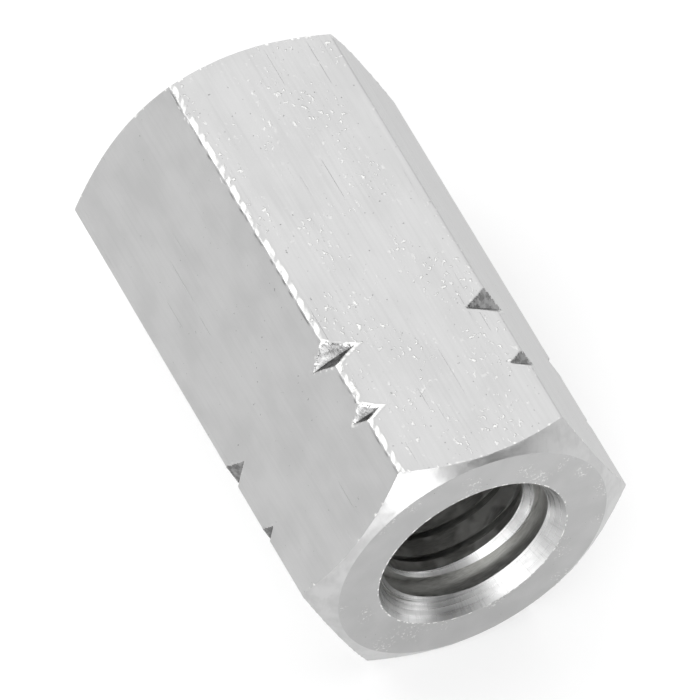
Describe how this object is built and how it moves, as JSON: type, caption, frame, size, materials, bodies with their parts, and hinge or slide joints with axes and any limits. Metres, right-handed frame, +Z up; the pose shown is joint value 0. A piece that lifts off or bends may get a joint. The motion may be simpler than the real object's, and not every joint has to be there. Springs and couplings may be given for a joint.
{
  "type": "coupling nut",
  "caption": "Long hexagonal coupling nut with a threaded through hole, countersunk mouths, coned ends and turned nicks across its corners.",
  "frame": {"origin": "on the ground under the middle of the nut, at the centre of the flat it lies on", "axes": "+Y along the threaded hole, from the grooved end to the plain end; +Z up, square to the flat it lies on"},
  "size_m": [0.0196, 0.03, 0.017],
  "materials": {
    "zinc_plated_steel": "satin clear zinc plate with fine drawing marks, small pits and scratches"
  },
  "bodies": {
    "root": {"nut_body": "zinc_plated_steel"}
  },
  "joints": []
}
